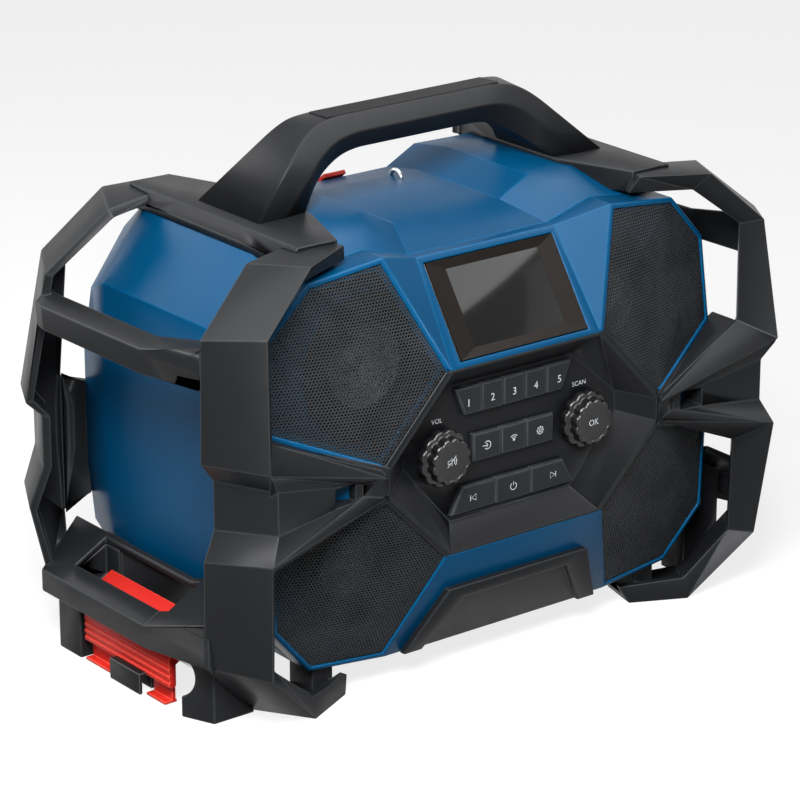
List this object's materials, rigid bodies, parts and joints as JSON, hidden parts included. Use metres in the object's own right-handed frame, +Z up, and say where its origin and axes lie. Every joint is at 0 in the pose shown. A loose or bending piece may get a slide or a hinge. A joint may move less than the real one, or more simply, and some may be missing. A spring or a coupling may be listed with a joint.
{
  "type": "jobsite radio",
  "caption": "Portable jobsite radio in a faceted roll cage, with grilles, a control console, a carrying handle and stacking latches.",
  "frame": {"origin": "middle of the footprint, on the surface that the radio stands on", "axes": "+X from the radio's left end to its right end as seen from the front, -Y out of the front with the console, +Z up"},
  "size_m": [0.492, 0.296, 0.3745],
  "materials": {
    "housing_blue": "fine satin texture",
    "guard_charcoal": "fine matte grain",
    "grip_rubber": "soft matte",
    "console_black": "satin",
    "lens_glass": "clear gloss",
    "display_black": "gloss",
    "grille_mesh": "perforated, black paint",
    "baffle_black": "plain",
    "basket_steel": "black paint",
    "cone_paper": "matte",
    "board_green": "solder mask",
    "knob_black": "semi-gloss",
    "bright_steel": "zinc plated",
    "key_charcoal": "satin",
    "battery_black": "matte",
    "signal_red": "satin",
    "hook_black": "semi-gloss paint"
  },
  "bodies": {
    "root": {"front_housing": "housing_blue", "rear_housing": "housing_blue", "front_guard_left": "guard_charcoal", "front_guard_right": "guard_charcoal", "rear_guard_left": "guard_charcoal", "rear_guard_right": "guard_charcoal", "side_frame_left": "guard_charcoal", "side_frame_right": "guard_charcoal", "top_rail_left": "guard_charcoal", "top_rail_right": "guard_charcoal", "handle": "guard_charcoal", "center_foot": "guard_charcoal", "handle_grip_pad": "grip_rubber", "key_mat": "grip_rubber", "console_bezel": "console_black", "encoder_bodies": "console_black", "battery_terminal_block": "console_black", "display_lens": "lens_glass", "display_module": "display_black", "grille_upper_left": "grille_mesh", "grille_upper_right": "grille_mesh", "grille_lower_left": "grille_mesh", "grille_lower_right": "grille_mesh", "speaker_baffle": "baffle_black", "speaker_frame_upper_left": "basket_steel", "speaker_cone_upper_left": "cone_paper", "speaker_frame_upper_right": "basket_steel", "speaker_cone_upper_right": "cone_paper", "speaker_frame_lower_left": "basket_steel", "speaker_cone_lower_left": "cone_paper", "speaker_frame_lower_right": "basket_steel", "speaker_cone_lower_right": "cone_paper", "circuit_board": "board_green", "hinge_pins": "bright_steel", "housing_screws": "bright_steel", "tether_eye": "bright_steel", "battery_pack": "battery_black"},
    "battery_door": {"battery_door": "housing_blue"},
    "door_latch": {"door_latch": "signal_red"},
    "stack_latch_left": {"stack_lever_left": "signal_red", "stack_hook_left": "hook_black"},
    "stack_latch_right": {"stack_lever_right": "signal_red", "stack_hook_right": "hook_black"},
    "volume_sleeve": {"encoder_sleeve_left": "bright_steel"},
    "volume_knob": {"volume_knob": "knob_black", "volume_shaft": "bright_steel"},
    "tuning_sleeve": {"encoder_sleeve_right": "bright_steel"},
    "tuning_knob": {"tuning_knob": "knob_black", "tuning_shaft": "bright_steel"},
    "preset_1_key": {"preset_1_key": "key_charcoal"},
    "preset_2_key": {"preset_2_key": "key_charcoal"},
    "preset_3_key": {"preset_3_key": "key_charcoal"},
    "preset_4_key": {"preset_4_key": "key_charcoal"},
    "preset_5_key": {"preset_5_key": "key_charcoal"},
    "source_key": {"source_key": "key_charcoal"},
    "wireless_key": {"wireless_key": "key_charcoal"},
    "settings_key": {"settings_key": "key_charcoal"},
    "previous_key": {"previous_key": "key_charcoal"},
    "power_key": {"power_key": "key_charcoal"},
    "next_key": {"next_key": "key_charcoal"}
  },
  "joints": [
    {"name": "preset_1_key_press", "type": "slide", "parent": "root", "child": "preset_1_key", "axis": [0, 1, 0], "range_m": [0, 0.001], "stiffness_N_per_m": 300},
    {"name": "preset_2_key_press", "type": "slide", "parent": "root", "child": "preset_2_key", "axis": [0, 1, 0], "range_m": [0, 0.001], "stiffness_N_per_m": 300},
    {"name": "preset_3_key_press", "type": "slide", "parent": "root", "child": "preset_3_key", "axis": [0, 1, 0], "range_m": [0, 0.001], "stiffness_N_per_m": 300},
    {"name": "preset_4_key_press", "type": "slide", "parent": "root", "child": "preset_4_key", "axis": [0, 1, 0], "range_m": [0, 0.001], "stiffness_N_per_m": 300},
    {"name": "preset_5_key_press", "type": "slide", "parent": "root", "child": "preset_5_key", "axis": [0, 1, 0], "range_m": [0, 0.001], "stiffness_N_per_m": 300},
    {"name": "source_key_press", "type": "slide", "parent": "root", "child": "source_key", "axis": [0, 1, 0], "range_m": [0, 0.001], "stiffness_N_per_m": 300},
    {"name": "wireless_key_press", "type": "slide", "parent": "root", "child": "wireless_key", "axis": [0, 1, 0], "range_m": [0, 0.001], "stiffness_N_per_m": 300},
    {"name": "settings_key_press", "type": "slide", "parent": "root", "child": "settings_key", "axis": [0, 1, 0], "range_m": [0, 0.001], "stiffness_N_per_m": 300},
    {"name": "previous_key_press", "type": "slide", "parent": "root", "child": "previous_key", "axis": [0, 1, 0], "range_m": [0, 0.001], "stiffness_N_per_m": 300},
    {"name": "power_key_press", "type": "slide", "parent": "root", "child": "power_key", "axis": [0, 1, 0], "range_m": [0, 0.001], "stiffness_N_per_m": 300},
    {"name": "next_key_press", "type": "slide", "parent": "root", "child": "next_key", "axis": [0, 1, 0], "range_m": [0, 0.001], "stiffness_N_per_m": 300},
    {"name": "volume_press", "type": "slide", "parent": "root", "child": "volume_sleeve", "axis": [0, 1, 0], "range_m": [0, 0.0008], "stiffness_N_per_m": 500},
    {"name": "volume_turn", "type": "hinge", "parent": "volume_sleeve", "child": "volume_knob", "pos_m": [-0.062, -0.12, 0.162], "axis": [0, -1, 0], "continuous": true},
    {"name": "tuning_press", "type": "slide", "parent": "root", "child": "tuning_sleeve", "axis": [0, 1, 0], "range_m": [0, 0.0008], "stiffness_N_per_m": 500},
    {"name": "tuning_turn", "type": "hinge", "parent": "tuning_sleeve", "child": "tuning_knob", "pos_m": [0.062, -0.12, 0.162], "axis": [0, -1, 0], "continuous": true},
    {"name": "battery_door_hinge", "type": "hinge", "parent": "root", "child": "battery_door", "pos_m": [0, 0.114, 0.102], "axis": [-1, 0, 0], "range_deg": [0, 90]},
    {"name": "door_latch_slide", "type": "slide", "parent": "battery_door", "child": "door_latch", "axis": [0, 0.7772, -0.6292], "range_m": [0, 0.003], "stiffness_N_per_m": 300},
    {"name": "stack_latch_left_hinge", "type": "hinge", "parent": "root", "child": "stack_latch_left", "pos_m": [-0.226, 0.004, 0.036], "axis": [0, 1, 0], "range_deg": [0, 25]},
    {"name": "stack_latch_right_hinge", "type": "hinge", "parent": "root", "child": "stack_latch_right", "pos_m": [0.226, 0.004, 0.036], "axis": [0, -1, 0], "range_deg": [0, 25]}
  ]
}
